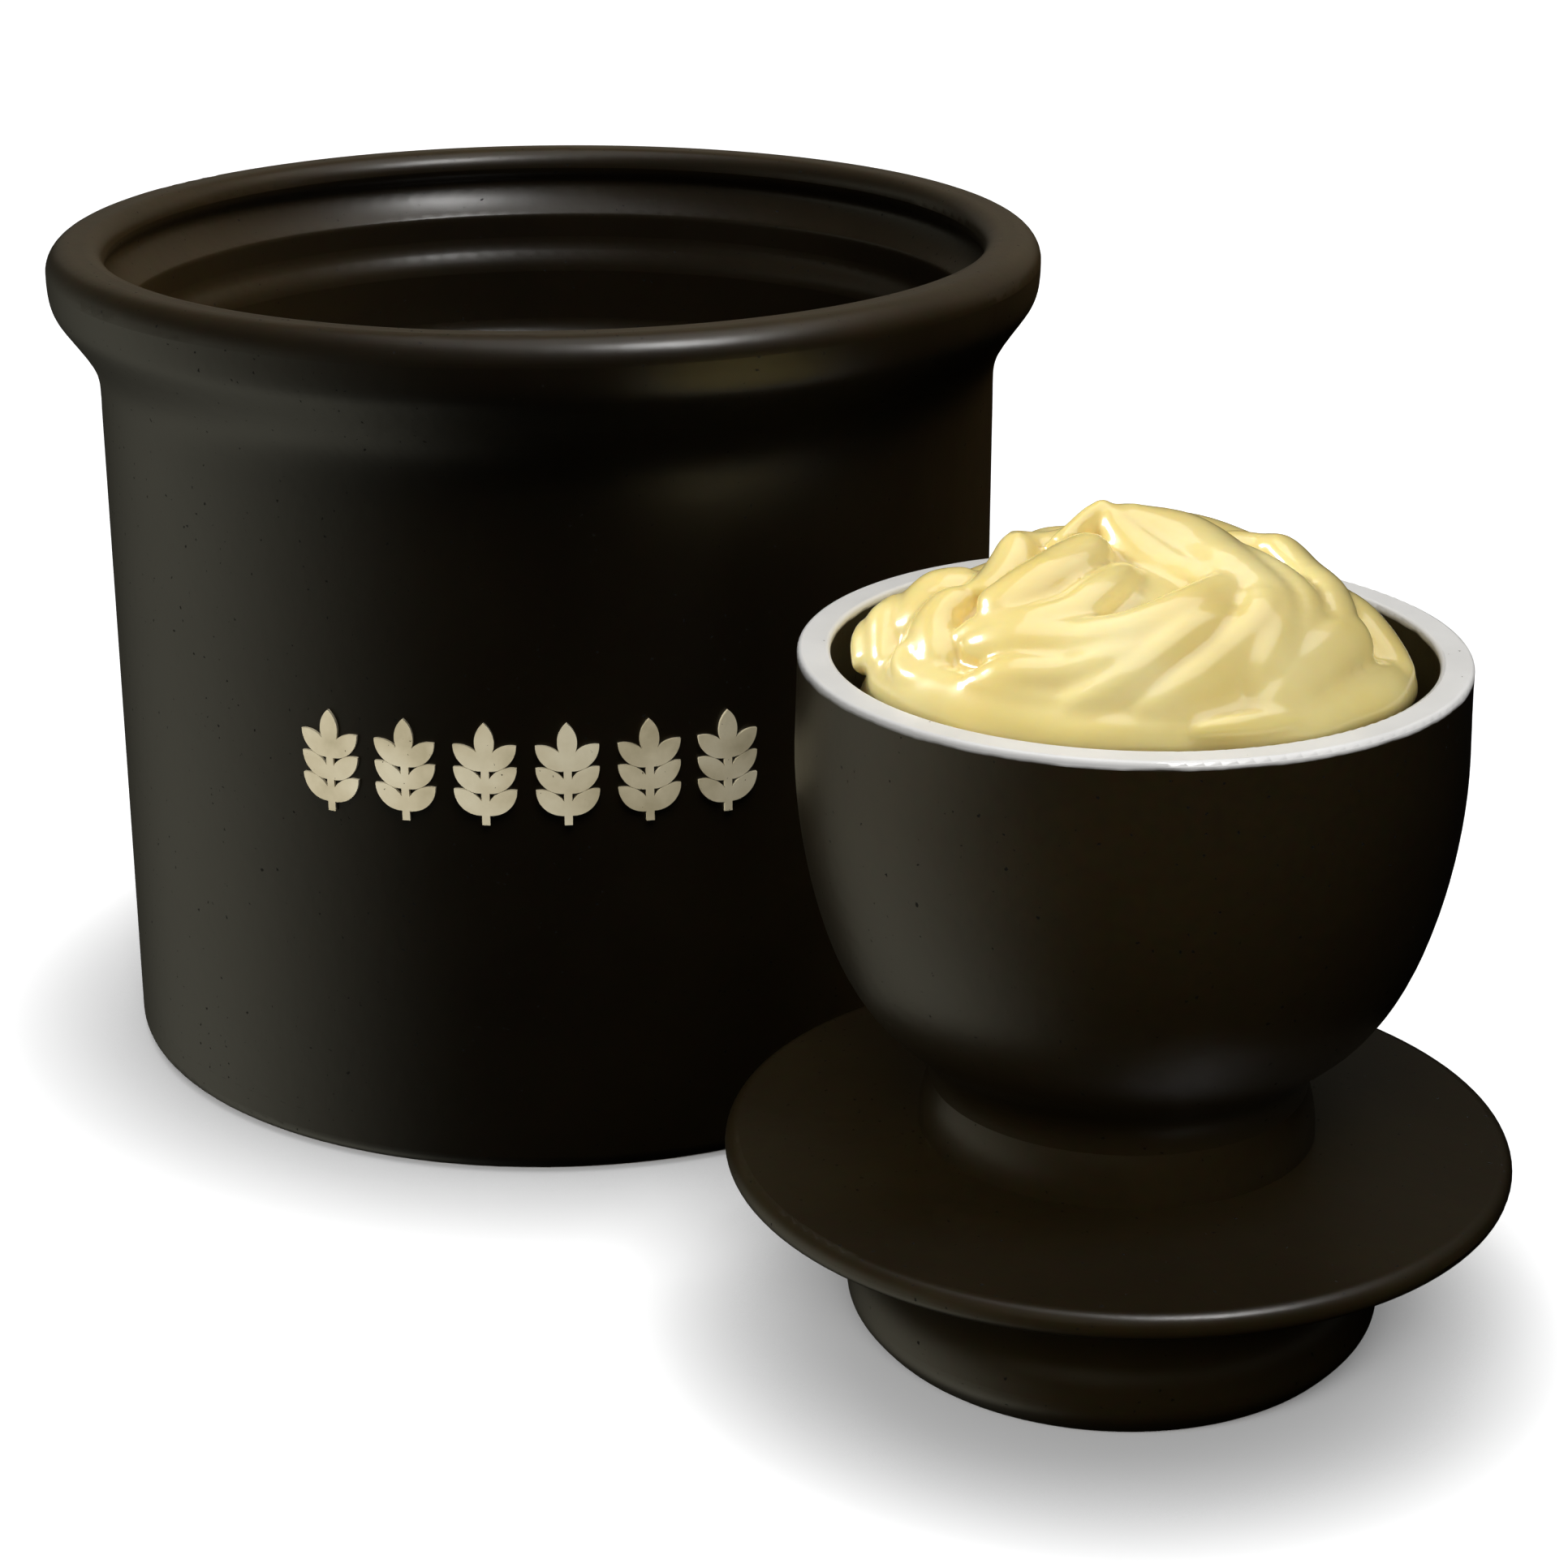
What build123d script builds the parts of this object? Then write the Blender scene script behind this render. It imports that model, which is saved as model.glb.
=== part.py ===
"""Stoneware butter crock: a flared crock and its turned-over lid, a butter cup on a saucer and knob.

Millimetres, +Z up. The origin is the centre of the crock's flat base. The lid stands
upside down beside the crock on its knob, with the butter cup opening upwards.
"""

import math
import os

from build123d import *

# ---------------------------------------------------------------- crock, driving dimensions
CROCK_HEIGHT = 98.8
WALL_RADIUS = 53.7
WALL_THICKNESS = 4.5
FLOOR_THICKNESS = 4.5
BASE_ROUND = 2.0
FLOOR_FILLET = 5.0
NECK_HEIGHT = 79.0
FLARE_LOW_SHARES = (0.08, 0.33)
FLARE_HIGH_SHARES = (0.80, 0.70)
LIP_RADIUS = 59.1
LIP_WIDEST_HEIGHT = 95.8
LIP_TOP_ROUND = 3.0
MOUTH_RADIUS = 52.3
LIP_INNER_ROUND = 2.3
GROOVE = (53.0, 94.9)
UPPER_STEP = (50.9, 91.0)
LOWER_STEP = (50.5, 87.6)
WALL_TOP_HEIGHT = 83.2

# The seat inside the crock that the lid's saucer drops onto.
SEAT_HEIGHT = 73.8
SEAT_BORE_RADIUS = 36.5
SEAT_THICKNESS = 5.0
SEAT_NOSE_ROUND = 1.5
SEAT_FILLET = 3.0
SEAT_WEB_DROP = 15.0

# ---------------------------------------------------------------- applied decoration
SPRIG_COUNT = 6
SPRIG_PITCH_ANGLE = 9.7
SPRIG_MIDDLE_HEIGHT = 49.2
SPRIG_HEIGHT = 12.4
SPRIG_LEAF_PAIRS = 3
LEAF_LENGTH = 4.6
LEAF_WIDTH = 2.2
LEAF_SPREAD_ANGLE = 40.0
LEAF_ROOT_SHARE = 0.45
STEM_WIDTH = 0.9
SLIP_THICKNESS = 0.35

# ---------------------------------------------------------------- lid, driving dimensions
LID_DISTANCE = 106.9
LID_BEARING = -54.0

KNOB_HEIGHT = 13.0
KNOB_RADIUS = 27.8
KNOB_FOOT_RADIUS = 22.6
KNOB_BAND_LOW = (26.6, 2.2)
KNOB_WIDEST_HEIGHT = 5.0
KNOB_BAND_TOP = (26.6, 8.6)
KNOB_COVE_RADIUS = 23.6
KNOB_HOLLOW_RADIUS = 19.8
KNOB_HOLLOW_DEPTH = 8.6
KNOB_HOLLOW_ROUND = 4.0

SAUCER_RADIUS = 40.6
SAUCER_EDGE_HEIGHT = 20.7
SAUCER_EDGE_ROUND = 1.4
SAUCER_CROWN_HEIGHT = 23.0
SAUCER_COVE_END = (29.6, 16.8)

COLLAR_FOOT_RADIUS = 20.5
COLLAR_MIDDLE = (20.4, 1.9)
COLLAR_TOP_RADIUS = 19.5
COLLAR_HEIGHT = 5.4

CUP_RADIUS = 33.4
CUP_WIDEST_HEIGHT = 63.0
CUP_LIP_RADIUS = 33.2
CUP_BELLY = ((24.0, 35.2), (31.0, 47.5))
CUP_FOOT_DIRECTION = (-0.05, 1)
CUP_WALL = 3.3
CUP_FLOOR_THICKNESS = 6.4
CUP_FLOOR_RADIUS = 13.0
CUP_INNER_BELLY = (27.3, 50.0)
CUP_RIM_HEIGHT = 74.5
LIP_GLAZE_THICKNESS = 0.9
LIP_GLAZE_ROUND = 0.5

# ---------------------------------------------------------------- butter
BUTTER_CLEARANCE = 0.15
BUTTER_FLOOR_RADIUS = 12.6
BUTTER_BELLY = (26.7, 50.4)
BUTTER_SIDE = (29.5, 61.0)
BUTTER_SHOULDER_RADIUS = 26.5
BUTTER_SHOULDER_HEIGHT = 73.0
BUTTER_CROWN_RADIUS = 15.0
BUTTER_CROWN_HEIGHT = 86.0
BUTTER_PEAK_HEIGHT = 90.0

# ---------------------------------------------------------------- worked out from the above
INNER_RADIUS = WALL_RADIUS - WALL_THICKNESS
COLLAR_BASE = SAUCER_CROWN_HEIGHT
CUP_BASE = COLLAR_BASE + COLLAR_HEIGHT
CUP_FLOOR = CUP_BASE + CUP_FLOOR_THICKNESS
CUP_CLAY_HEIGHT = CUP_RIM_HEIGHT - LIP_GLAZE_THICKNESS
CUP_BORE_RADIUS = CUP_LIP_RADIUS - CUP_WALL
LID_X = LID_DISTANCE * math.cos(math.radians(LID_BEARING))
LID_Y = LID_DISTANCE * math.sin(math.radians(LID_BEARING))

UP = (0, 1)
DOWN = (0, -1)
OUT = (1, 0)
IN = (-1, 0)


def turned(outline):
    """Turn a closed outline, drawn as radius and height, once around the upright axis."""
    return revolve(Plane.XZ * make_face(outline), Axis.Z)


def at_lid(shape):
    """Carry a solid drawn on the upright axis to the place where the lid stands."""
    return Pos(LID_X, LID_Y, 0) * shape


def quarter(start, end, toward):
    """A round corner that leaves start in the direction toward and arrives at end."""
    return TangentArc(start, end, tangent=toward)


# ---------------------------------------------------------------- crock
def crock_floor():
    """The crock's round base slab, with a soft corner where it meets the table."""
    base_corner = (WALL_RADIUS - BASE_ROUND, 0)
    wall_foot = (WALL_RADIUS, BASE_ROUND)
    slab_edge = (WALL_RADIUS, FLOOR_THICKNESS)
    return turned(
        [
            Line((0, 0), base_corner),
            quarter(base_corner, wall_foot, OUT),
            Line(wall_foot, slab_edge),
            Line(slab_edge, (0, FLOOR_THICKNESS)),
            Line((0, FLOOR_THICKNESS), (0, 0)),
        ]
    )


def crock_wall():
    """The straight wall on the base slab, with a fillet inside at its foot."""
    outer_foot = (WALL_RADIUS, FLOOR_THICKNESS)
    outer_top = (WALL_RADIUS, NECK_HEIGHT)
    inner_top = (INNER_RADIUS, NECK_HEIGHT)
    well_foot = (INNER_RADIUS, FLOOR_THICKNESS + FLOOR_FILLET)
    floor_edge = (INNER_RADIUS - FLOOR_FILLET, FLOOR_THICKNESS)
    return turned(
        [
            Line(outer_foot, outer_top),
            Line(outer_top, inner_top),
            Line(inner_top, well_foot),
            quarter(well_foot, floor_edge, DOWN),
            Line(floor_edge, outer_foot),
        ]
    )


def rim_outside():
    """The slight neck and the rolled lip, from the wall's top to the lip's top."""
    neck = (WALL_RADIUS, NECK_HEIGHT)
    lip_widest = (LIP_RADIUS, LIP_WIDEST_HEIGHT)
    lip_top = (LIP_RADIUS - LIP_TOP_ROUND, CROCK_HEIGHT)
    flare_rise = LIP_WIDEST_HEIGHT - NECK_HEIGHT
    flare_run = LIP_RADIUS - WALL_RADIUS
    flare = [
        (WALL_RADIUS + out * flare_run, NECK_HEIGHT + up * flare_rise)
        for out, up in (FLARE_LOW_SHARES, FLARE_HIGH_SHARES)
    ]
    return [
        Spline(neck, *flare, lip_widest, tangents=(UP, UP)),
        quarter(lip_widest, lip_top, UP),
    ]


def rim_inside():
    """From the lip's top over its inner edge, through a groove and down two steps, to the wall."""
    lip_top = (LIP_RADIUS - LIP_TOP_ROUND, CROCK_HEIGHT)
    inner_top = (MOUTH_RADIUS + LIP_INNER_ROUND, CROCK_HEIGHT)
    inner_edge = (MOUTH_RADIUS, CROCK_HEIGHT - LIP_INNER_ROUND)
    wall_top = (INNER_RADIUS, WALL_TOP_HEIGHT)
    step_middle = (LOWER_STEP[1] + WALL_TOP_HEIGHT) / 2
    rim_foot = (INNER_RADIUS, NECK_HEIGHT)
    return [
        Line(lip_top, inner_top),
        quarter(inner_top, inner_edge, IN),
        Spline(inner_edge, GROOVE, UPPER_STEP, LOWER_STEP, tangents=(DOWN, DOWN)),
        Bezier(LOWER_STEP, (LOWER_STEP[0], step_middle), (INNER_RADIUS, step_middle), wall_top),
        Line(wall_top, rim_foot),
        Line(rim_foot, (WALL_RADIUS, NECK_HEIGHT)),
    ]


def crock_rim():
    """The flared rim and rolled lip that carry on from the top of the wall."""
    return turned(rim_outside() + rim_inside())


def seat_ledge():
    """The ring inside the wall that the lid's saucer rests on, sloped under to the wall."""
    wall_end = (INNER_RADIUS, SEAT_HEIGHT + SEAT_FILLET)
    seat_start = (INNER_RADIUS - SEAT_FILLET, SEAT_HEIGHT)
    nose_top = (SEAT_BORE_RADIUS + SEAT_NOSE_ROUND, SEAT_HEIGHT)
    nose_side = (SEAT_BORE_RADIUS, SEAT_HEIGHT - SEAT_NOSE_ROUND)
    nose_foot = (SEAT_BORE_RADIUS, SEAT_HEIGHT - SEAT_THICKNESS)
    web_foot = (INNER_RADIUS, SEAT_HEIGHT - SEAT_WEB_DROP)
    return turned(
        [
            quarter(wall_end, seat_start, DOWN),
            Line(seat_start, nose_top),
            quarter(nose_top, nose_side, IN),
            Line(nose_side, nose_foot),
            Line(nose_foot, web_foot),
            Line(web_foot, wall_end),
        ]
    )


# ---------------------------------------------------------------- decoration
def leaf(root, angle):
    """A pointed leaf drawn flat as two arcs, growing from root at an angle above the level."""
    tip = (LEAF_LENGTH, 0)
    upper = ThreePointArc((0, 0), (LEAF_LENGTH / 2, LEAF_WIDTH / 2), tip)
    lower = ThreePointArc(tip, (LEAF_LENGTH / 2, -LEAF_WIDTH / 2), (0, 0))
    return Pos(root[0], root[1]) * Rot(0, 0, angle) * make_face([upper, lower])


def sprig_outline():
    """One upright sprig: a stem with pairs of leaves and a leaf at its tip, drawn flat."""
    half = SPRIG_HEIGHT / 2
    stem_length = SPRIG_HEIGHT - LEAF_LENGTH
    pair_step = stem_length / SPRIG_LEAF_PAIRS
    outline = Pos(0, stem_length / 2 - half) * Rectangle(STEM_WIDTH, stem_length)
    outline += leaf((0, stem_length - half - STEM_WIDTH / 2), 90)
    for pair in range(SPRIG_LEAF_PAIRS):
        root = (0, pair_step * (pair + LEAF_ROOT_SHARE) - half)
        outline += leaf(root, LEAF_SPREAD_ANGLE)
        outline += leaf(root, 180 - LEAF_SPREAD_ANGLE)
    return outline


def crock_emblem():
    """A row of raised sprigs in slip around the front of the crock, each its own solid."""
    slip = Cylinder(WALL_RADIUS + SLIP_THICKNESS, SPRIG_HEIGHT * 2)
    slip -= Cylinder(WALL_RADIUS, SPRIG_HEIGHT * 2)
    slip = Pos(0, 0, SPRIG_MIDDLE_HEIGHT) * slip
    stamp = extrude(sprig_outline(), WALL_RADIUS * 2)
    upright = Pos(0, 0, SPRIG_MIDDLE_HEIGHT) * Rot(90, 0, 0) * stamp
    sprigs = []
    for index in range(SPRIG_COUNT):
        turn = SPRIG_PITCH_ANGLE * (index - (SPRIG_COUNT - 1) / 2)
        sprigs.append(Rot(0, 0, turn) * upright & slip)
    return Compound(children=[solid for sprig in sprigs for solid in sprig.solids()])


# ---------------------------------------------------------------- lid
def lid_knob():
    """The lid's knob, which is its foot here: a turned band with a cove above it, hollow below."""
    hollow_corner = (KNOB_HOLLOW_RADIUS, KNOB_HOLLOW_DEPTH - KNOB_HOLLOW_ROUND)
    hollow_top = (KNOB_HOLLOW_RADIUS - KNOB_HOLLOW_ROUND, KNOB_HOLLOW_DEPTH)
    foot_inner = (KNOB_HOLLOW_RADIUS, 0)
    foot_outer = (KNOB_FOOT_RADIUS, 0)
    band_widest = (KNOB_RADIUS, KNOB_WIDEST_HEIGHT)
    cove = (KNOB_COVE_RADIUS, KNOB_HEIGHT)
    return turned(
        [
            Line((0, KNOB_HOLLOW_DEPTH), hollow_top),
            quarter(hollow_top, hollow_corner, OUT),
            Line(hollow_corner, foot_inner),
            Line(foot_inner, foot_outer),
            Spline(foot_outer, KNOB_BAND_LOW, band_widest, tangents=(OUT, UP)),
            Spline(band_widest, KNOB_BAND_TOP, cove, tangents=(UP, UP)),
            Line(cove, (0, KNOB_HEIGHT)),
            Line((0, KNOB_HEIGHT), (0, KNOB_HOLLOW_DEPTH)),
        ]
    )


def lid_saucer():
    """The lid's round plate: coved under, with a rolled edge and a gently crowned face."""
    edge_low = (SAUCER_RADIUS - SAUCER_EDGE_ROUND, SAUCER_EDGE_HEIGHT - SAUCER_EDGE_ROUND)
    edge = (SAUCER_RADIUS, SAUCER_EDGE_HEIGHT)
    edge_high = (SAUCER_RADIUS - SAUCER_EDGE_ROUND, SAUCER_EDGE_HEIGHT + SAUCER_EDGE_ROUND)
    joint_edge = (KNOB_COVE_RADIUS, KNOB_HEIGHT)
    crown_edge = (COLLAR_FOOT_RADIUS, SAUCER_CROWN_HEIGHT)
    return turned(
        [
            Line((0, KNOB_HEIGHT), joint_edge),
            Spline(joint_edge, SAUCER_COVE_END, edge_low, tangents=(UP, OUT)),
            quarter(edge_low, edge, OUT),
            quarter(edge, edge_high, UP),
            Spline(edge_high, crown_edge, tangents=(IN, IN)),
            Line(crown_edge, (0, SAUCER_CROWN_HEIGHT)),
            Line((0, SAUCER_CROWN_HEIGHT), (0, KNOB_HEIGHT)),
        ]
    )


def neck_collar():
    """The solid turned disc between the saucer and the cup, drawn in towards its top."""
    low = (COLLAR_FOOT_RADIUS, COLLAR_BASE)
    middle = (COLLAR_MIDDLE[0], COLLAR_BASE + COLLAR_MIDDLE[1])
    high = (COLLAR_TOP_RADIUS, CUP_BASE)
    return turned(
        [
            Line((0, COLLAR_BASE), low),
            ThreePointArc(low, middle, high),
            Line(high, (0, CUP_BASE)),
            Line((0, CUP_BASE), (0, COLLAR_BASE)),
        ]
    )


def cup_outside():
    """The outline of the cup's outside, from its foot to the bottom of the lip glaze."""
    foot = (COLLAR_TOP_RADIUS, CUP_BASE)
    widest = (CUP_RADIUS, CUP_WIDEST_HEIGHT)
    lip = (CUP_LIP_RADIUS, CUP_CLAY_HEIGHT)
    return Spline(foot, *CUP_BELLY, widest, lip, tangents=(CUP_FOOT_DIRECTION, UP))


def cup_inside():
    """The outline of the cup's inside, from the rim down to the edge of its floor."""
    rim = (CUP_BORE_RADIUS, CUP_CLAY_HEIGHT)
    widest = (CUP_RADIUS - CUP_WALL, CUP_WIDEST_HEIGHT)
    floor_edge = (CUP_FLOOR_RADIUS, CUP_FLOOR)
    return Spline(rim, widest, CUP_INNER_BELLY, floor_edge, tangents=(DOWN, IN))


def butter_cup():
    """The bell-shaped cup that holds the butter, up to the flat top of its clay."""
    return turned(
        [
            Line((0, CUP_BASE), (COLLAR_TOP_RADIUS, CUP_BASE)),
            cup_outside(),
            Line((CUP_LIP_RADIUS, CUP_CLAY_HEIGHT), (CUP_BORE_RADIUS, CUP_CLAY_HEIGHT)),
            cup_inside(),
            Line((CUP_FLOOR_RADIUS, CUP_FLOOR), (0, CUP_FLOOR)),
            Line((0, CUP_FLOOR), (0, CUP_BASE)),
        ]
    )


def lip_glaze():
    """The band of thick pale glaze that caps the cup's lip, with soft edges."""
    outer_low = (CUP_LIP_RADIUS, CUP_CLAY_HEIGHT)
    outer_high = (CUP_LIP_RADIUS, CUP_RIM_HEIGHT - LIP_GLAZE_ROUND)
    outer_top = (CUP_LIP_RADIUS - LIP_GLAZE_ROUND, CUP_RIM_HEIGHT)
    inner_top = (CUP_BORE_RADIUS + LIP_GLAZE_ROUND, CUP_RIM_HEIGHT)
    inner_high = (CUP_BORE_RADIUS, CUP_RIM_HEIGHT - LIP_GLAZE_ROUND)
    inner_low = (CUP_BORE_RADIUS, CUP_CLAY_HEIGHT)
    return turned(
        [
            Line(outer_low, outer_high),
            quarter(outer_high, outer_top, UP),
            Line(outer_top, inner_top),
            quarter(inner_top, inner_high, IN),
            Line(inner_high, inner_low),
            Line(inner_low, outer_low),
        ]
    )


# ---------------------------------------------------------------- butter
def butter():
    """The butter packed into the cup and mounded above its lip, as one plain soft form."""
    floor = CUP_FLOOR + BUTTER_CLEARANCE
    floor_edge = (BUTTER_FLOOR_RADIUS, floor)
    shoulder = (BUTTER_SHOULDER_RADIUS, BUTTER_SHOULDER_HEIGHT)
    crown = (BUTTER_CROWN_RADIUS, BUTTER_CROWN_HEIGHT)
    peak = (0, BUTTER_PEAK_HEIGHT)
    return turned(
        [
            Line((0, floor), floor_edge),
            Spline(floor_edge, BUTTER_BELLY, BUTTER_SIDE, tangents=(OUT, UP)),
            Spline(BUTTER_SIDE, shoulder, crown, peak, tangents=(UP, IN)),
            Line(peak, (0, floor)),
        ]
    )


# ---------------------------------------------------------------- nodes
NODES = {
    "crock_floor": crock_floor(),
    "crock_wall": crock_wall(),
    "crock_rim": crock_rim(),
    "seat_ledge": seat_ledge(),
    "crock_emblem": crock_emblem(),
    "lid_knob": at_lid(lid_knob()),
    "lid_saucer": at_lid(lid_saucer()),
    "neck_collar": at_lid(neck_collar()),
    "butter_cup": at_lid(butter_cup()),
    "cup_lip_glaze": at_lid(lip_glaze()),
    "butter": at_lid(butter()),
}

os.makedirs("parts", exist_ok=True)
for node, shape in NODES.items():
    export_step(shape, f"parts/{node}.step")
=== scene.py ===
"""Looks for the butter crock: dark speckled glaze, cream slip, white lip and whipped butter."""

import math

import bmesh
import bpy
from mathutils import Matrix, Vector, noise

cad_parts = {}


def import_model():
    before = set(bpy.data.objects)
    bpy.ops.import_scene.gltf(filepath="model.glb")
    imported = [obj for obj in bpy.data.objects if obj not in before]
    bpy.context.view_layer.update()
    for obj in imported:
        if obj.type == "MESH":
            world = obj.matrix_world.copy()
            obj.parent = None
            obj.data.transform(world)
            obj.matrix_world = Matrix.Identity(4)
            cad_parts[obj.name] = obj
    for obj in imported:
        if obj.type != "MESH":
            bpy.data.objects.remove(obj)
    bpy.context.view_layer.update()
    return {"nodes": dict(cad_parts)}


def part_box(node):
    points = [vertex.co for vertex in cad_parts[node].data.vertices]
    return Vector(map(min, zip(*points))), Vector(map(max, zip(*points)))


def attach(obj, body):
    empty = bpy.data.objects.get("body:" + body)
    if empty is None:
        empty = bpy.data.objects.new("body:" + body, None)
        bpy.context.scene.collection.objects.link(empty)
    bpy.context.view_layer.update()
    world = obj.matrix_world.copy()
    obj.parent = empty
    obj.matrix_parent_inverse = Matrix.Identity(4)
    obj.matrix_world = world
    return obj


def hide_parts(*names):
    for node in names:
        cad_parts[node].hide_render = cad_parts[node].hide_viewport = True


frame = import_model()

MM = 0.001
NODES = frame["nodes"]
CROCK_NODES = ("crock_floor", "crock_wall", "crock_rim", "seat_ledge")
LID_NODES = ("lid_knob", "lid_saucer", "neck_collar", "butter_cup")

# ---------------------------------------------------------------- places taken from the frame
cup_low, cup_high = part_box("butter_cup")
glaze_low, glaze_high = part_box("cup_lip_glaze")
CUP_AXIS = Vector(((cup_low.x + cup_high.x) / 2, (cup_low.y + cup_high.y) / 2, 0))
CUP_WALL = 3.3 * MM
RIM_HEIGHT = glaze_high.z
LIP_RADIUS = (glaze_high.x - glaze_low.x) / 2
BORE_RADIUS = LIP_RADIUS - CUP_WALL

# ---------------------------------------------------------------- colours
# Tones are the stops of a colour ramp: the place on the ramp, then the colour there.
GLAZE_TONES = [
    (0.32, (0.0072, 0.0048, 0.0020)),
    (0.55, (0.0100, 0.0068, 0.0028)),
    (0.75, (0.0128, 0.0092, 0.0038)),
]
GLAZE_PIT = (0.0008, 0.0006, 0.0004)
CLAY_TONES = [(0.35, (0.16, 0.115, 0.075)), (0.65, (0.27, 0.21, 0.15))]
SLIP_TONES = [(0.3, (0.42, 0.37, 0.25)), (0.5, (0.60, 0.54, 0.40)), (0.7, (0.70, 0.65, 0.51))]
SLIP_SPECK = (0.05, 0.035, 0.02)
LIP_TONES = [(0.3, (0.74, 0.73, 0.71)), (0.65, (0.80, 0.79, 0.77))]
LIP_SPECK = (0.12, 0.09, 0.07)
LIP_THIN = (0.03, 0.024, 0.016)
BUTTER_TONES = [(0.3, (0.84, 0.655, 0.22)), (0.5, (0.88, 0.715, 0.28)), (0.7, (0.92, 0.775, 0.35))]
FLOOR_TONES = [(0.0, (0.80, 0.80, 0.80)), (1.0, (0.84, 0.84, 0.84))]
GLOW_COLOUR = (1.0, 0.97, 0.77)
WHITE = (1, 1, 1)


# ---------------------------------------------------------------- node helpers
# A signal is a node with the name or number of one of its outputs, as a pair.
MIX_KINDS = {"Color": ("RGBA", 2), "Vector": ("VECTOR", 1)}  # data type and number of the output
PIT_SMALLEST = 0.3  # the smallest pit's radius as a share of the largest
PIT_CRISPNESS = 6
PIT_WARP = 0.0006
PIT_WARP_GRAIN = 0.35  # the warp's grain as a share of the pits' spacing


class NodeTree:
    """A node tree with short ways to add nodes and feed their sockets."""

    def __init__(self, owner):
        owner.use_nodes = True
        self.tree = owner.node_tree
        self.tree.nodes.clear()

    def node(self, kind, **settings):
        made = self.tree.nodes.new(kind)
        for key, value in settings.items():
            setattr(made, key, value)
        return made

    def feed(self, socket, value):
        """Give a socket a number, a colour or a signal."""
        if not isinstance(value, tuple):
            socket.default_value = value
        elif isinstance(value[0], bpy.types.Node):
            source, out = value
            self.tree.links.new(source.outputs[out], socket)
        else:
            socket.default_value = (*value, 1)

    def math(self, operation, *values, clamp=False):
        made = self.node("ShaderNodeMath", operation=operation, use_clamp=clamp)
        for index, value in enumerate(values):
            self.feed(made.inputs[index], value)
        return made, 0

    def remap(self, signal, start=(0.0, 1.0), end=(0.0, 1.0), kind="LINEAR"):
        """Carry a signal from the start range to the end range, cut off at both ends."""
        made = self.node("ShaderNodeMapRange", interpolation_type=kind)
        limits = {"From Min": start[0], "From Max": start[1], "To Min": end[0], "To Max": end[1]}
        for name, limit in limits.items():
            made.inputs[name].default_value = limit
        self.feed(made.inputs["Value"], signal)
        return made, "Result"


class Shader(NodeTree):
    """A material of one principled surface, with its textures placed in the object's own space."""

    def __init__(self, name):
        self.material = bpy.data.materials.new(name)
        super().__init__(self.material)
        output = self.node("ShaderNodeOutputMaterial")
        self.surface = self.node("ShaderNodeBsdfPrincipled")
        self.feed(output.inputs["Surface"], (self.surface, "BSDF"))
        self.place = (self.node("ShaderNodeTexCoord"), "Object")

    def set(self, **values):
        """Give the surface's sockets their values, with _ for each space in a socket's name."""
        for name, value in values.items():
            self.feed(self.surface.inputs[name.replace("_", " ")], value)

    def noise(self, scale, detail=3.0, roughness=0.5, out="Fac", place=None):
        made = self.node("ShaderNodeTexNoise")
        made.inputs["Scale"].default_value = scale
        made.inputs["Detail"].default_value = detail
        made.inputs["Roughness"].default_value = roughness
        self.feed(made.inputs["Vector"], place or self.place)
        return made, out

    def ramp(self, signal, tones):
        made = self.node("ShaderNodeValToRGB")
        elements = made.color_ramp.elements
        while len(elements) < len(tones):
            elements.new(0.5)
        for element, (position, colour) in zip(elements, tones):
            element.position = position
            element.color = (*colour, 1)
        self.feed(made.inputs["Fac"], signal)
        return made, "Color"

    def mix(self, factor, first, second, blend="MIX", kind="Color"):
        data_type, out = MIX_KINDS[kind]
        made = self.node("ShaderNodeMix", data_type=data_type, blend_type=blend)
        self.feed(made.inputs["Factor"], factor)
        sockets = {socket.identifier: socket for socket in made.inputs}
        self.feed(sockets[f"A_{kind}"], first)
        self.feed(sockets[f"B_{kind}"], second)
        return made, out

    def height(self):
        """How high a point lies over the floor."""
        parts = self.node("ShaderNodeSeparateXYZ")
        self.feed(parts.inputs["Vector"], self.place)
        return parts, "Z"

    def bump(self, height, strength, distance):
        """Roughen the surface's normal by a height signal."""
        made = self.node("ShaderNodeBump")
        made.inputs["Strength"].default_value = strength
        made.inputs["Distance"].default_value = distance
        self.feed(made.inputs["Height"], height)
        self.set(Normal=(made, "Normal"))

    def pits(self, spacing, radius, share):
        """A mask that is 1 inside small round pits. Only this share of the cells holds one."""
        warp = self.noise(1 / (spacing * PIT_WARP_GRAIN), detail=2.0, out="Color")
        warped = self.mix(PIT_WARP, self.place, warp, kind="Vector")
        cells = self.node("ShaderNodeTexVoronoi")
        cells.inputs["Scale"].default_value = 1 / spacing
        self.feed(cells.inputs["Vector"], warped)
        split = self.node("ShaderNodeSeparateColor")
        self.feed(split.inputs["Color"], (cells, "Color"))
        chosen = self.math("LESS_THAN", (split, "Red"), share)
        largest = radius / spacing
        smallest = PIT_SMALLEST * largest
        reach = self.math("MULTIPLY_ADD", (split, "Green"), largest - smallest, smallest)
        inside = self.math("SUBTRACT", reach, (cells, "Distance"))
        edge = self.math("MULTIPLY", inside, PIT_CRISPNESS / largest, clamp=True)
        return self.math("MULTIPLY", edge, chosen)


# ---------------------------------------------------------------- materials
BARE_FOOT = 0.35 * MM  # no glaze below this height, where the ware stood in the kiln
THIN_GLAZE = (RIM_HEIGHT - 0.62 * MM, RIM_HEIGHT - 0.30 * MM)  # brown below, white above
THIN_GLAZE_WAVER = 0.5 * MM
SMEAR_BEARING = 35
SMEAR_SCALE = (60, 420, 420)  # long along the smears, fine across them


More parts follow.
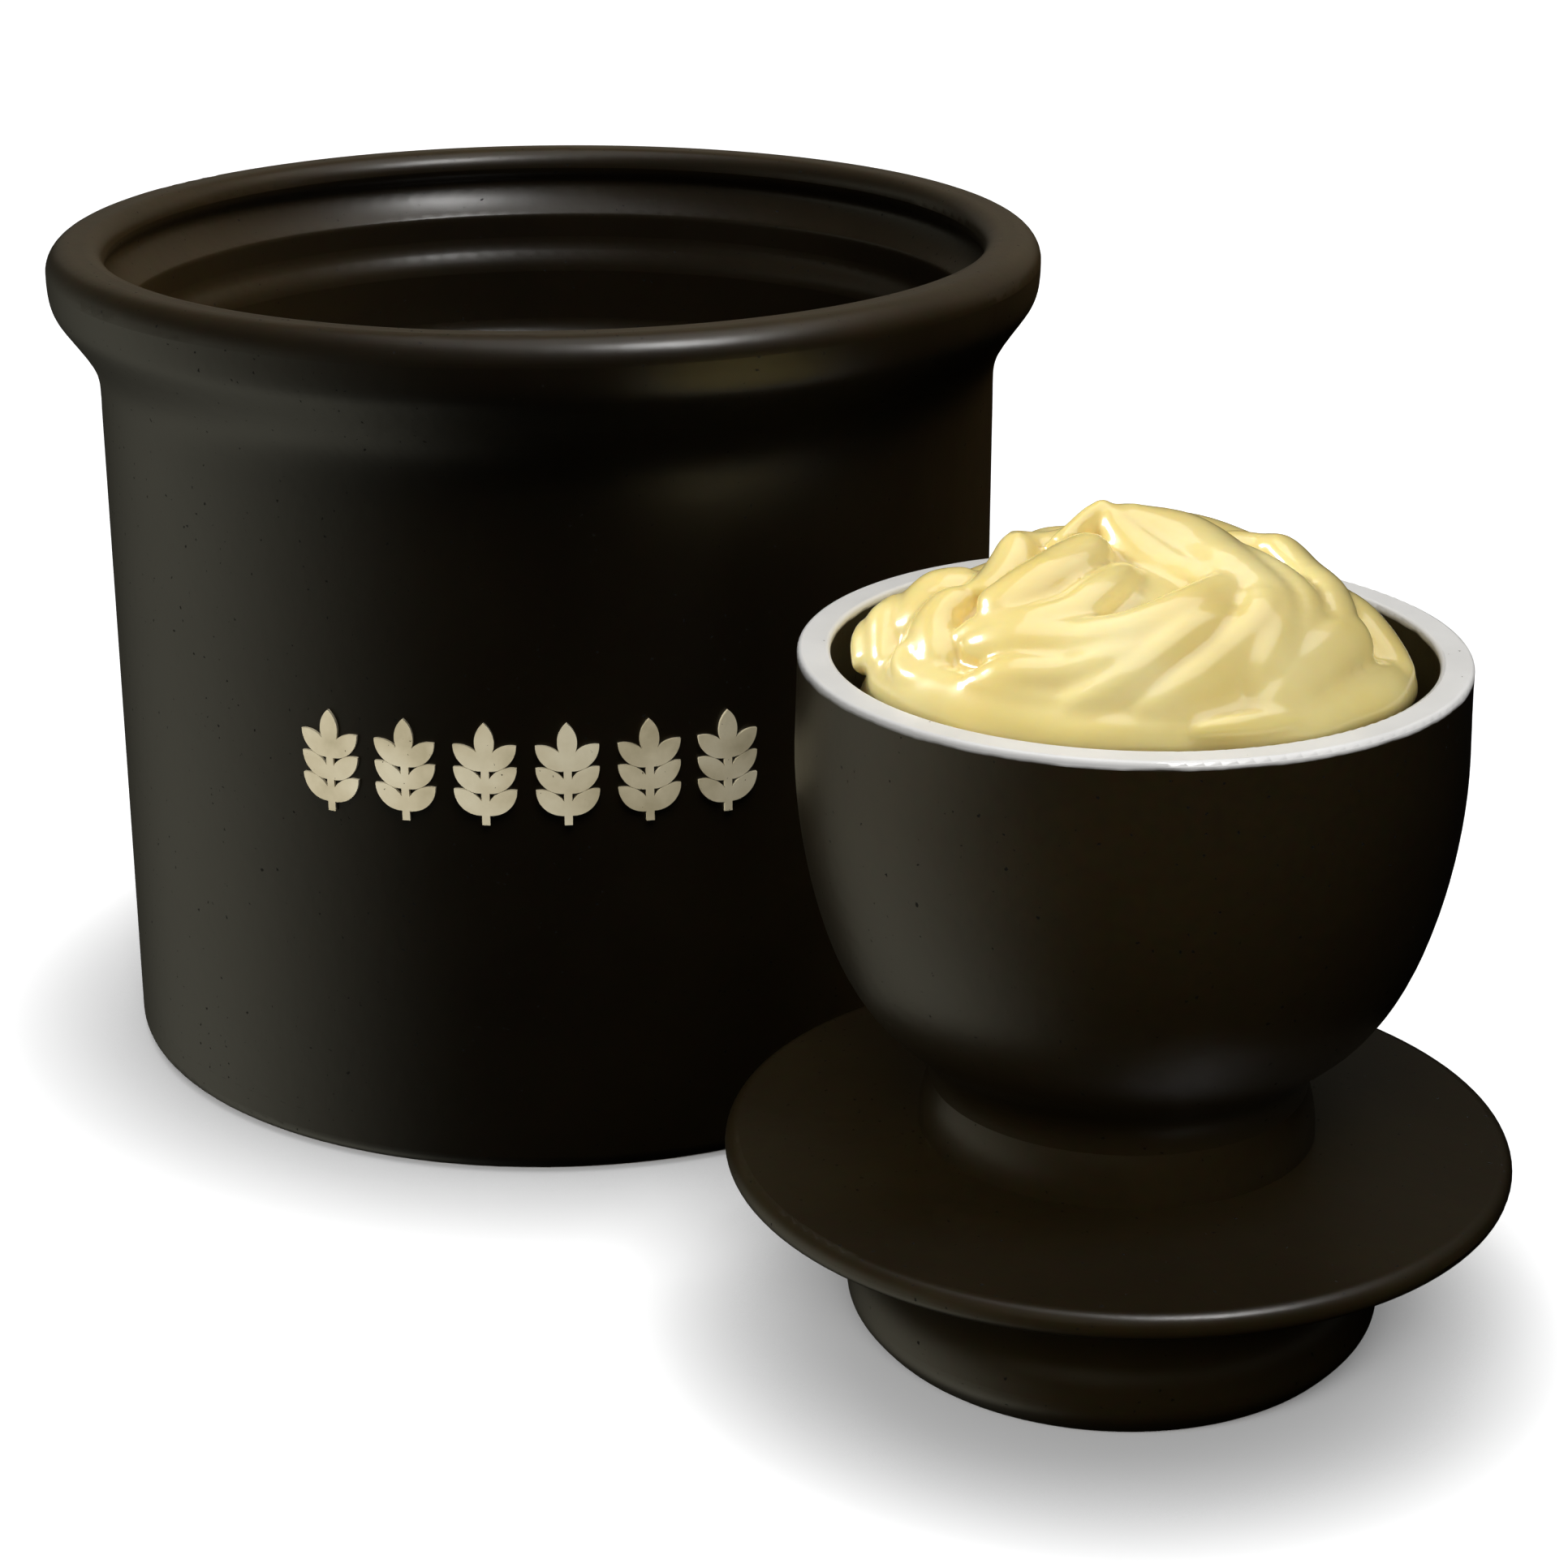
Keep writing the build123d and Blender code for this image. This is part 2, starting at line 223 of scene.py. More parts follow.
def dark_glaze():
    """Satin olive-black glaze: fine pits, clouding and a soft orange peel, bare under the feet."""
    shader = Shader("dark_glaze")
    tone = shader.ramp(shader.noise(28, detail=4.0, roughness=0.55), GLAZE_TONES)
    grain = shader.noise(900, detail=2.0, out="Color")
    grainy = shader.mix(0.25, tone, grain, blend="OVERLAY")
    pits = shader.pits(spacing=1.35 * MM, radius=0.19 * MM, share=0.8)
    specks = shader.pits(spacing=0.95 * MM, radius=0.09 * MM, share=0.6)
    marks = shader.math("MAXIMUM", pits, specks)
    pitted = shader.mix(marks, grainy, GLAZE_PIT)
    bare = shader.math("LESS_THAN", shader.height(), BARE_FOOT)
    clay = shader.ramp(shader.noise(700), CLAY_TONES)
    sheen = shader.remap(shader.noise(60), end=(0.31, 0.39))
    dull_marks = shader.math("MULTIPLY_ADD", marks, 0.4, sheen)
    dull_foot = shader.math("MAXIMUM", dull_marks, bare)
    roughness = shader.math("MINIMUM", dull_foot, 0.9)
    shader.set(Base_Color=shader.mix(bare, pitted, clay), Roughness=roughness, Specular_IOR_Level=0.5)
    relief = shader.math("MULTIPLY_ADD", marks, -2.0, shader.noise(450, detail=2.0))
    shader.bump(relief, strength=0.12, distance=0.2 * MM)
    return shader.material


def cream_slip():
    """Raised cream slip: slightly uneven, darker in patches where it is thin, finely specked."""
    shader = Shader("cream_slip")
    tone = shader.ramp(shader.noise(160, detail=4.0), SLIP_TONES)
    specks = shader.pits(spacing=0.8 * MM, radius=0.10 * MM, share=0.5)
    shader.set(Base_Color=shader.mix(specks, tone, SLIP_SPECK), Roughness=0.5, Specular_IOR_Level=0.35)
    shader.bump(shader.noise(1400), strength=0.25, distance=0.1 * MM)
    return shader.material


def white_glaze():
    """The white lip: soft gloss, faint warm clouding, dark specks, brown where it thins."""
    shader = Shader("white_glaze")
    tone = shader.ramp(shader.noise(120), LIP_TONES)
    specks = shader.pits(spacing=1.9 * MM, radius=0.13 * MM, share=0.5)
    marked = shader.mix(specks, tone, LIP_SPECK)
    waver = shader.noise(240, detail=2.0)
    height = shader.math("MULTIPLY_ADD", waver, THIN_GLAZE_WAVER, shader.height())
    full = shader.remap(height, start=THIN_GLAZE)
    shader.set(Base_Color=shader.mix(full, LIP_THIN, marked), Roughness=0.28, Specular_IOR_Level=0.4)
    shader.bump(waver, strength=0.15, distance=0.2 * MM)
    return shader.material


def butter_material():
    """Whipped butter: pale yellow, translucent and glossy, with fine smear lines."""
    shader = Shader("butter")
    tone = shader.ramp(shader.noise(70), BUTTER_TONES)
    shader.set(Base_Color=tone, Roughness=0.26, Specular_IOR_Level=0.5)
    shader.set(Coat_Weight=0.7, Coat_Roughness=0.05)
    shader.set(Subsurface_Weight=0.35, Subsurface_Scale=4 * MM)
    shader.surface.inputs["Subsurface Radius"].default_value = (1.0, 0.7, 0.25)
    stretch = shader.node("ShaderNodeMapping")
    stretch.inputs["Rotation"].default_value = (0.0, 0.0, math.radians(SMEAR_BEARING))
    stretch.inputs["Scale"].default_value = SMEAR_SCALE
    shader.feed(stretch.inputs["Vector"], shader.place)
    smears = shader.noise(1.0, place=(stretch, "Vector"))
    shader.bump(smears, strength=0.10, distance=0.4 * MM)
    return shader.material


def dress(node, material):
    """Give a CAD node its material."""
    slots = NODES[node].data.materials
    slots.clear()
    slots.append(material)


# ---------------------------------------------------------------- butter
# The butter is a filled cup with folds laid over its mound, as strokes of a knife would.
# Its sizes are in millimetres unless MM is in them, with x and y from the cup's axis and z over
# its rim.
MOUND_HEIGHT = 10.6
MOUND_RADIUS = 26.2
MOUND_EDGE_DROP = 1.6
MOUND_FULLNESS = 1.2  # 1 is a round dome, and more is lower towards its edge
MOUND_LEAN = (0.2, -1.8)
LEAN_DEPTH = 9.0  # the lean grows from none, this far below the rim, to the whole at the rim
# Radius and height of the butter inside the cup, from its floor upwards.
CUP_FILL = [
    (0, -40.0), (12.0, -40.0), (18.8, -36.4), (23.4, -31.0), (26.6, -24.0), (28.6, -14.0), (28.2, -9.0),
    (26.8, -4.0),
]
CORE_STEPS = 96
MOUND_STEPS = 12
FOLD_STATIONS = 40
FOLD_SIDES = 20
FOLD_HEART = Vector((0, 0, -16))  # folds lie on the side of their crest that faces this point
FOLD_END = 0.14  # the share of a fold's length in which each end rounds off
FOLD_TIP = 0.05  # an end's width as a share of the fold's
FOLD_UNEVEN = 0.45 * MM
FOLD_UNEVEN_SIZE = 7.0 * MM
BUTTER_GRAIN = 0.42 * MM
SOFTEN_ROUNDS = 7
CUP_CLEAR = 0.35 * MM

# A fold's points lie on its crest. "wide" and "tall" are its half width and half height at its
# start, middle and end.
FOLDS = {
    "top_left_lobe": dict(
        crest=[
            (-4.4, -2.4, 13.0), (-6.6, -5.4, 12.8), (-9.6, -8.8, 11.8), (-13, -11.6, 10.0),
            (-16.4, -12.8, 8.3),
        ],
        wide=(2.4, 4.0, 2.2),
        tall=(2.4, 3.0, 1.4),
    ),
    "under_lobe": dict(
        crest=[
            (-1, -6.5, 11.6), (-5, -12.5, 10.8), (-8, -15.5, 9.4), (-12, -16, 8.1), (-16, -14.5, 7.0),
            (-19, -13, 5.4),
        ],
        wide=(2.4, 2.6, 1.8),
        tall=(2.2, 1.7, 1.2),
    ),
    "long_sweep": dict(
        crest=[
            (-18.5, -15, 5.6), (-14.5, -17, 6.8), (-9.5, -19, 7.4), (-4, -20, 8.0), (1, -18.5, 9.0),
            (6, -15, 10.2), (10.5, -9.5, 10.6),
        ],
        wide=(1.8, 3.0, 3.2),
        tall=(1.4, 1.7, 1.6),
    ),
    "blunt_sweep": dict(
        crest=[
            (-17.5, -20, 3.2), (-13.5, -21.5, 4.6), (-8.5, -22.5, 5.3), (-3.5, -22, 6.6),
            (0.5, -19.5, 8.2), (4, -17, 9.4),
        ],
        wide=(2.6, 2.5, 1.4),
        tall=(2.2, 1.8, 1.0),
    ),
    "thin_sweep": dict(
        crest=[
            (-10, -24.8, 2.4), (-6.5, -25, 3.6), (-3, -24, 5.2), (0, -22, 6.9), (3.5, -19.5, 8.4),
            (8, -15.5, 9.8),
        ],
        wide=(1.4, 2.2, 2.4),
        tall=(1.2, 1.5, 1.2),
    ),
    "low_sweep": dict(
        crest=[
            (-3.5, -26.4, 2.0), (1, -25.3, 3.6), (5, -23.2, 5.4), (8.5, -19.8, 7.4), (11.2, -15.5, 9.2),
            (12, -10.5, 10.6),
        ],
        wide=(1.6, 2.6, 3.0),
        tall=(1.3, 1.8, 1.6),
    ),
    "shoulder": dict(
        crest=[
            (-2.8, 2.2, 14.6), (0.2, 1.6, 14.3), (3.4, 0.2, 13.9), (6.6, -2.4, 13.0), (9.6, -6.6, 11.9),
            (12.2, -11.5, 10.2), (12.8, -16.5, 8.0), (11.2, -20.8, 6.0), (8, -24, 4.0),
        ],
        wide=(1.4, 4.6, 2.6),
        tall=(1.4, 3.2, 1.6),
    ),
    "right_bump": dict(
        crest=[
            (8, 3, 11.2), (12, 3.4, 10.8), (15.2, 1.6, 11.0), (17.5, -3, 9.6), (19, -8, 8.3),
            (19, -13, 6.6), (16.5, -17, 5.6),
        ],
        wide=(2.6, 3.0, 2.0),
        tall=(1.8, 2.2, 1.4),
    ),
    "right_crease": dict(
        crest=[(9, -3, 12.2), (13, -7, 11.0), (15.5, -11.5, 9.0), (15, -16, 7.2), (13, -20, 5.6)],
        wide=(1.4, 1.9, 1.2),
        tall=(1.0, 1.3, 0.8),
    ),
    "right_slab": dict(
        crest=[
            (22, -11, 5.6), (18.5, -15.5, 6.0), (15, -20, 4.8), (12, -23.5, 2.8), (9.5, -26, 0.8),
        ],
        wide=(3.2, 3.4, 2.4),
        tall=(2.0, 2.2, 1.4),
    ),
    "right_edge": dict(
        crest=[(19.5, -4, 7.6), (23, -5, 5.4), (25, -8, 3.0), (26, -11, 0.8)],
        wide=(2.6, 2.8, 1.8),
        tall=(1.8, 1.7, 1.2),
    ),
    "right_skirt": dict(
        crest=[
            (27.4, -6, 0.0), (24, -14.5, 0.9), (19.5, -20, 0.8), (14.5, -24.0, 0.6), (8, -26.4, 0.6),
            (1, -27.2, 0.4),
        ],
        wide=(3.0, 2.9, 2.0),
        tall=(2.0, 1.8, 1.3),
    ),
    "left_bump": dict(
        crest=[(-12.2, 1.2, 12.0), (-13.4, -1.8, 10.8), (-15.2, -4.8, 9.4), (-17, -7.2, 8.2)],
        wide=(1.6, 3.2, 3.0),
        tall=(2.0, 3.0, 2.0),
    ),
    "left_saddle": dict(
        crest=[(-12.5, 1, 11.8), (-9, 2, 11.4), (-5, 3, 12.4)],
        wide=(1.6, 2.2, 2.4),
        tall=(1.4, 1.6, 1.6),
    ),
    "left_flap": dict(
        crest=[
            (-15, -1, 8.6), (-19, -1.5, 8.4), (-22, -2, 7.0), (-23.5, -5, 5.2), (-24, -7.5, 3.4),
        ],
        wide=(2.4, 3.6, 2.6),
        tall=(1.8, 2.6, 2.2),
    ),
    "left_curl": dict(
        crest=[
            (-16.5, -7, 8.6), (-20, -7.5, 7.4), (-22, -10, 5.4), (-21.2, -13.8, 4.0),
            (-18.6, -15.6, 4.0),
        ],
        wide=(2.4, 3.4, 2.4),
        tall=(2.0, 2.8, 2.2),
    ),
    "left_edge": dict(
        crest=[(-23.6, 1.5, 5.2), (-25.8, -2.5, 4.6), (-26.4, -6.5, 2.8), (-26.0, -10, 1.2)],
        wide=(1.8, 2.6, 1.8),
        tall=(1.8, 2.4, 1.8),
    ),
    "left_rag": dict(
        crest=[(-26.8, -0.5, 3.0), (-27.8, -4, 2.2), (-27.8, -7.5, 0.8)],
        wide=(1.2, 1.6, 1.2),
        tall=(1.4, 1.8, 1.4),
    ),
    "left_knuckle": dict(
        crest=[(-22.8, -11, 4.6), (-24.2, -12.2, 3.0), (-23.4, -15, 2.2), (-21, -17, 2.6)],
        wide=(1.2, 1.7, 1.2),
        tall=(1.4, 1.8, 1.4),
    ),
    "front_roll": dict(
        crest=[
            (-18.5, -19.4, 3.4), (-13, -23, 2.9), (-6, -25.3, 2.4), (2, -26, 1.9), (8, -25.6, 1.2),
        ],
        wide=(1.8, 2.2, 1.4),
        tall=(1.6, 1.8, 1.2),
    ),
    "front_dab": dict(
        crest=[(2.5, -27.6, 0.9), (7, -27.2, 1.5), (11.5, -25.6, 1.4), (14, -23.8, 1.0)],
        wide=(1.0, 1.6, 1.0),
        tall=(1.0, 1.5, 1.0),
    ),
    "front_skirt": dict(
        crest=[
            (-27.2, -7.0, 0.6), (-23.5, -15, 1.4), (-19.6, -19.6, 1.4), (-15.5, -23.4, 0.9),
            (-9, -26.4, 0.7), (-2, -27.4, 0.6), (6, -26.9, 0.4),
        ],
        wide=(2.8, 3.2, 2.2),
        tall=(1.8, 2.0, 1.4),
    ),
    "peak_left": dict(
        crest=[(-2.8, 2.2, 14.9), (-5.0, 1.2, 13.9), (-6.8, -0.6, 12.9), (-8.6, -2.8, 11.9)],
        wide=(1.0, 1.4, 2.2),
        tall=(1.2, 1.8, 2.2),
    ),
    "peak_face": dict(
        crest=[
            (-2.6, 1.4, 14.5), (-0.8, -0.6, 13.5), (1.4, -3.4, 12.4), (4.2, -6.6, 11.4), (7, -10, 10.6),
        ],
        wide=(1.0, 3.4, 2.4),
        tall=(1.4, 3.0, 1.8),
    ),
    "peak_heart": dict(
        crest=[(-7, 1.8, 11.8), (-4.2, 2.6, 12.8), (-1.4, 2.6, 13.6)],
        wide=(2.0, 2.4, 2.0),
        tall=(1.6, 2.0, 1.8),
    ),
    "back_sweep_left": dict(
        crest=[(-14.5, 8, 5.8), (-11, 14, 6.2), (-5, 18, 6.4), (3, 19.5, 6.2), (10, 17.5, 6.0)],
        wide=(2.2, 3.4, 2.2),
        tall=(1.5, 2.0, 1.2),
    ),
    "back_sweep_low": dict(
        crest=[(-23, 6, 3.0), (-19, 14, 2.2), (-11, 21, 2.2), (-2, 24.5, 1.8), (7, 24, 1.6)],
        wide=(2.2, 3.2, 2.0),
        tall=(1.4, 1.9, 1.2),
    ),
    "back_ridge": dict(
        crest=[(-1, 5, 13.0), (4, 9, 11.6), (10, 11, 9.4), (16, 9, 7.4), (20, 4, 6.2)],
        wide=(2.4, 3.2, 2.0),
        tall=(1.8, 2.0, 1.2),
    ),
    "back_skirt_right": dict(
        crest=[(12, 20, 2.6), (18, 16, 2.8), (23, 9, 2.6), (25, 1, 2.4)],
        wide=(2.2, 3.0, 2.0),
        tall=(1.4, 1.8, 1.2),
    ),
    "back_lobe": dict(
        crest=[(-10, 5, 9.8), (-9, 11, 8.6), (-4, 14, 8.4), (3, 14.5, 8.4), (8, 14, 7.8)],
        wide=(2.0, 2.6, 1.6),
        tall=(1.4, 1.7, 1.1),
    ),
}


def eased(points, t):
    """A point on the smooth curve through points, with t from 0 to 1 along the whole curve."""
    spans = len(points) - 1
    index = min(int(t * spans), spans - 1)
    u = t * spans - index
    before = points[max(index - 1, 0)]
    after = points[min(index + 2, spans)]
    start, end = points[index], points[index + 1]
    lean_in, lean_out = (end - before) / 2, (after - start) / 2
    return (
        start * (2 * u**3 - 3 * u**2 + 1)
        + end * (3 * u**2 - 2 * u**3)
        + lean_in * (u**3 - 2 * u**2 + u)
        + lean_out * (u**3 - u**2)
    )


def swell(sizes, t):
    """A size that runs from start over middle to end as t goes from 0 to 1."""
    start, middle, end = sizes
    bend = math.sin(math.pi * t)
    return (start * (1 - t) + end * t) * (1 - bend) + middle * bend


def rounding(t):
    """How much of its full section a fold has at t: 1 along it, closing in a quarter round at each end."""
    past = max(FOLD_END - t, t - (1 - FOLD_END), 0) / FOLD_END
    return max(math.sqrt(max(1 - past**2, 0.0)), FOLD_TIP)


def lay_fold(build, crest, wide, tall):
    """Add one fold: a closed flattened tube under its crest line, rounded off at both ends."""
    points = [Vector(p) for p in crest]
    step = 0.01
    rings = []
    for station in range(FOLD_STATIONS + 1):
        t = station / FOLD_STATIONS
        here = eased(points, t)
        along = (eased(points, min(t + step, 1)) - eased(points, max(t - step, 0))).normalized()
        out = (here - FOLD_HEART).normalized()
        out = (out - along * out.dot(along)).normalized()
        across = along.cross(out)
        half_width, half_height = swell(wide, t) * rounding(t), swell(tall, t) * rounding(t)
        middle = here - out * swell(tall, t)
        ring = []
        for side in range(FOLD_SIDES):
            angle = math.tau * side / FOLD_SIDES
            spot = middle + across * (half_width * math.cos(angle)) + out * (half_height * math.sin(angle))
            ring.append(build.verts.new(spot))
        rings.append(ring)
    for ring, following in zip(rings, rings[1:]):
        for side in range(FOLD_SIDES):
            nxt = (side + 1) % FOLD_SIDES
            build.faces.new((ring[side], ring[nxt], following[nxt], following[side]))
    build.faces.new(list(reversed(rings[0])))
    build.faces.new(rings[-1])


def core_outline():
    """Radius and height of the butter's core, from the cup's floor up over the mound."""
    mound = []
    for step in range(1, MOUND_STEPS + 1):
        a = math.pi / 2 * step / MOUND_STEPS
        height = MOUND_HEIGHT * math.sin(a) ** MOUND_FULLNESS - MOUND_EDGE_DROP * math.cos(a)
        mound.append((MOUND_RADIUS * math.cos(a), height))
    return CUP_FILL + mound


def lay_core(build):
    """Add the butter's core, turned about the cup's axis."""
    outline = core_outline()
    low = build.verts.new((0, 0, outline[0][1]))
    top = build.verts.new((0, 0, outline[-1][1]))
    rings = []
    for radius, height in outline[1:-1]:
        lean = min(max((height + LEAN_DEPTH) / LEAN_DEPTH, 0.0), 1.0)
        ring = []
        for step in range(CORE_STEPS):
            a = math.tau * step / CORE_STEPS
            east = radius * math.cos(a) + lean * MOUND_LEAN[0]
            north = radius * math.sin(a) + lean * MOUND_LEAN[1]
            ring.append(build.verts.new((east, north, height)))
        rings.append(ring)
    for step in range(CORE_STEPS):
        nxt = (step + 1) % CORE_STEPS
        build.faces.new((low, rings[0][nxt], rings[0][step]))
        build.faces.new((top, rings[-1][step], rings[-1][nxt]))
        for ring, following in zip(rings, rings[1:]):
            build.faces.new((ring[step], ring[nxt], following[nxt], following[step]))


def new_object(name, build):
    """An object in the scene with the mesh that was built."""
    mesh = bpy.data.meshes.new(name)
    build.to_mesh(mesh)
    build.free()
    made = bpy.data.objects.new(name, mesh)
    bpy.context.scene.collection.objects.link(made)
    return made


def whipped_butter():
    """Core and folds run together into one skin, softened, made uneven and kept within the bore."""
    build = bmesh.new()
    lay_core(build)
    for fold in FOLDS.values():
        lay_fold(build, **fold)
    bmesh.ops.scale(build, vec=(MM, MM, MM), verts=build.verts)
    made = new_object("whipped_butter", build)
    knit = made.modifiers.new("knit", "REMESH")
    knit.mode = "VOXEL"
    knit.voxel_size = BUTTER_GRAIN
    soften = made.modifiers.new("soften", "SMOOTH")
    soften.factor = 0.5
    soften.iterations = SOFTEN_ROUNDS
    bpy.context.view_layer.update()
    graph = bpy.context.evaluated_depsgraph_get()
    skin = bpy.data.meshes.new_from_object(made.evaluated_get(graph))
    made.modifiers.clear()
    made.data = skin
    limit = BORE_RADIUS - CUP_CLEAR
    slopes = [normal.vector.copy() for normal in skin.vertex_normals]
    for vertex, slope in zip(skin.vertices, slopes):
        spot = vertex.co + slope * (FOLD_UNEVEN * noise.noise(vertex.co / FOLD_UNEVEN_SIZE))
        reach = math.hypot(spot.x, spot.y)
        if reach > limit:
            spot.x *= limit / reach
            spot.y *= limit / reach
        vertex.co = spot + CUP_AXIS + Vector((0, 0, RIM_HEIGHT))
    for polygon in skin.polygons:
        polygon.use_smooth = True
    skin.name = "whipped_butter"
    return made


# ---------------------------------------------------------------- stage, light and camera
FLOOR_REACH = 12.0
FLOOR_GLOW = 0.68
SHADE_REACH = 27 * MM
SHADE_DEPTH = 3.5
GLOW_BEARING = 178
GLOW_STRENGTH = 0.68
GLOW_NARROWNESS = 4.0
# How far up or down a direction points, from 1 to -1, where a light begins and where it is whole.
GLOW_TOP = (0.55, -0.25)
GLOW_FOOT = (-0.985, -0.88)
OVERHEAD = (0.05, 0.35)
OVERHEAD_STRENGTH = 0.05
FILL_STRENGTH = 0.10
CAMERA_PLACE = (28.38 * MM, -410.53 * MM, 180.91 * MM)
CAMERA_DIP = 0.357  # radians below level
CAMERA_LENS = 79.3
CAMERA_SENSOR = 36.0


def floor():
    """A plain pale surface that glows evenly, but for a painted soft shade close to what stands on it."""
    build = bmesh.new()
    bmesh.ops.create_grid(build, x_segments=1, y_segments=1, size=FLOOR_REACH)
    made = new_object("floor", build)
    shader = Shader("floor")
    shader.set(Base_Color=shader.ramp(shader.noise(3, detail=2.0), FLOOR_TONES))
    shader.set(Roughness=0.9, Specular_IOR_Level=0.0, Emission_Color=WHITE)
    # Ambient occlusion darkens the floor's glow near the ware: this is a painted contact shadow, not one
    # cast by a lamp.
    near = shader.node("ShaderNodeAmbientOcclusion", samples=8)
    near.inputs["Distance"].default_value = SHADE_REACH
    painted_shade_factor = shader.math("POWER", (near, "AO"), SHADE_DEPTH)
    shader.set(Emission_Strength=shader.math("MULTIPLY", painted_shade_factor, FLOOR_GLOW))
    made.data.materials.append(shader.material)
    made.visible_glossy = False
    made.visible_diffuse = False
    return made


def soft_light(name, place, aim, size, power, only, colour=WHITE, glossy=True, diffuse=True):
    """A rectangular softbox, for gloss or diffuse light or both, that lights only some pieces."""
    data = bpy.data.lights.new(name, "AREA")
    data.shape = "RECTANGLE"
    data.size, data.size_y = size
    data.energy = power
    data.color = colour
    made = bpy.data.objects.new(name, data)
    made.location = place
    made.rotation_euler = (Vector(aim) - Vector(place)).to_track_quat("-Z", "Y").to_euler()
    made.visible_camera = False
    made.visible_glossy = glossy
    made.visible_diffuse = diffuse
    bpy.context.scene.collection.objects.link(made)
    group = bpy.data.collections.new(name + "_pieces")
    for piece in only:
        group.objects.link(piece)
    made.light_linking.receiver_collection = group


def bearing_place(bearing, rise, distance):
    """A place given by its bearing, counted from +X to +Y, its angle above the floor and its distance."""
    flat = distance * math.cos(math.radians(rise))
    return (
        flat * math.cos(math.radians(bearing)),
        flat * math.sin(math.radians(bearing)),
        distance * math.sin(math.radians(rise)),
    )


def glow_strength(tree):
    """How strong the light that the glaze mirrors is in each direction."""
    parts = tree.node("ShaderNodeSeparateXYZ")
    tree.feed(parts.inputs["Vector"], (tree.node("ShaderNodeTexCoord"), "Generated"))
    up = (parts, "Z")
    level = tree.math("SQRT", tree.math("SUBTRACT", 1.0, tree.math("MULTIPLY", up, up)))
    toward = math.radians(GLOW_BEARING)
    across = tree.math("MULTIPLY", (parts, "X"), math.cos(toward))
    along = tree.math("MULTIPLY", (parts, "Y"), math.sin(toward))
    cosine = tree.math("DIVIDE", tree.math("ADD", across, along), tree.math("MAXIMUM", level, 0.02))
    spread = tree.math("POWER", tree.math("MAXIMUM", cosine, 0.0), GLOW_NARROWNESS)
    below_top = tree.math("MULTIPLY", spread, tree.remap(up, start=GLOW_TOP, kind="SMOOTHSTEP"))
    glow = tree.math("MULTIPLY", below_top, tree.remap(up, start=GLOW_FOOT, kind="SMOOTHSTEP"))
    overhead = tree.remap(up, start=OVERHEAD, end=(0.0, OVERHEAD_STRENGTH), kind="SMOOTHSTEP")
    return tree.math("ADD", tree.math("MULTIPLY", glow, GLOW_STRENGTH), overhead)


def world():
    """White to look at, dim for soft fill, and a warm glow on the left for the glaze to mirror."""
    studio = bpy.data.worlds.new("studio")
    tree = NodeTree(studio)

    def background(colour, strength):
        made = tree.node("ShaderNodeBackground")
        tree.feed(made.inputs["Color"], colour)
        tree.feed(made.inputs["Strength"], strength)
        return made, 0

    def choose(ray, otherwise, chosen):
        made = tree.node("ShaderNodeMixShader")
        for socket, value in zip(made.inputs, ((path, ray), otherwise, chosen)):
            tree.feed(socket, value)
        return made, 0

    path = tree.node("ShaderNodeLightPath")
    fill = background(WHITE, FILL_STRENGTH)
    mirrored = background(GLOW_COLOUR, glow_strength(tree))
    unseen = choose("Is Glossy Ray", fill, mirrored)
    output = tree.node("ShaderNodeOutputWorld")
    tree.feed(output.inputs["Surface"], choose("Is Camera Ray", unseen, background(WHITE, 1.0)))
    bpy.context.scene.world = studio


def camera():
    """The viewing angle: from the front, looking down by about twenty degrees."""
    data = bpy.data.cameras.new("camera")
    data.sensor_width = CAMERA_SENSOR
    data.lens = CAMERA_LENS
    made = bpy.data.objects.new("camera", data)
    made.location = CAMERA_PLACE
    made.rotation_euler = (math.pi / 2 - CAMERA_DIP, 0, 0)
    bpy.context.scene.collection.objects.link(made)
    bpy.context.scene.camera = made


# ---------------------------------------------------------------- the scene
glaze = dark_glaze()
for part in (*CROCK_NODES, *LID_NODES):
    dress(part, glaze)
dress("crock_emblem", cream_slip())
dress("cup_lip_glaze", white_glaze())

mound = whipped_butter()
mound.data.materials.append(butter_material())
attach(mound, "lid")
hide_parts("butter")

ground = floor()
world()
camera()
bpy.context.scene.view_settings.view_transform = "Standard"

CROCK = [NODES[name] for name in CROCK_NODES]
LID = [NODES[name] for name in LID_NODES]
EMBLEM = NODES["crock_emblem"]
RING = NODES["cup_lip_glaze"]
WARE = [*CROCK, *LID, EMBLEM, RING]

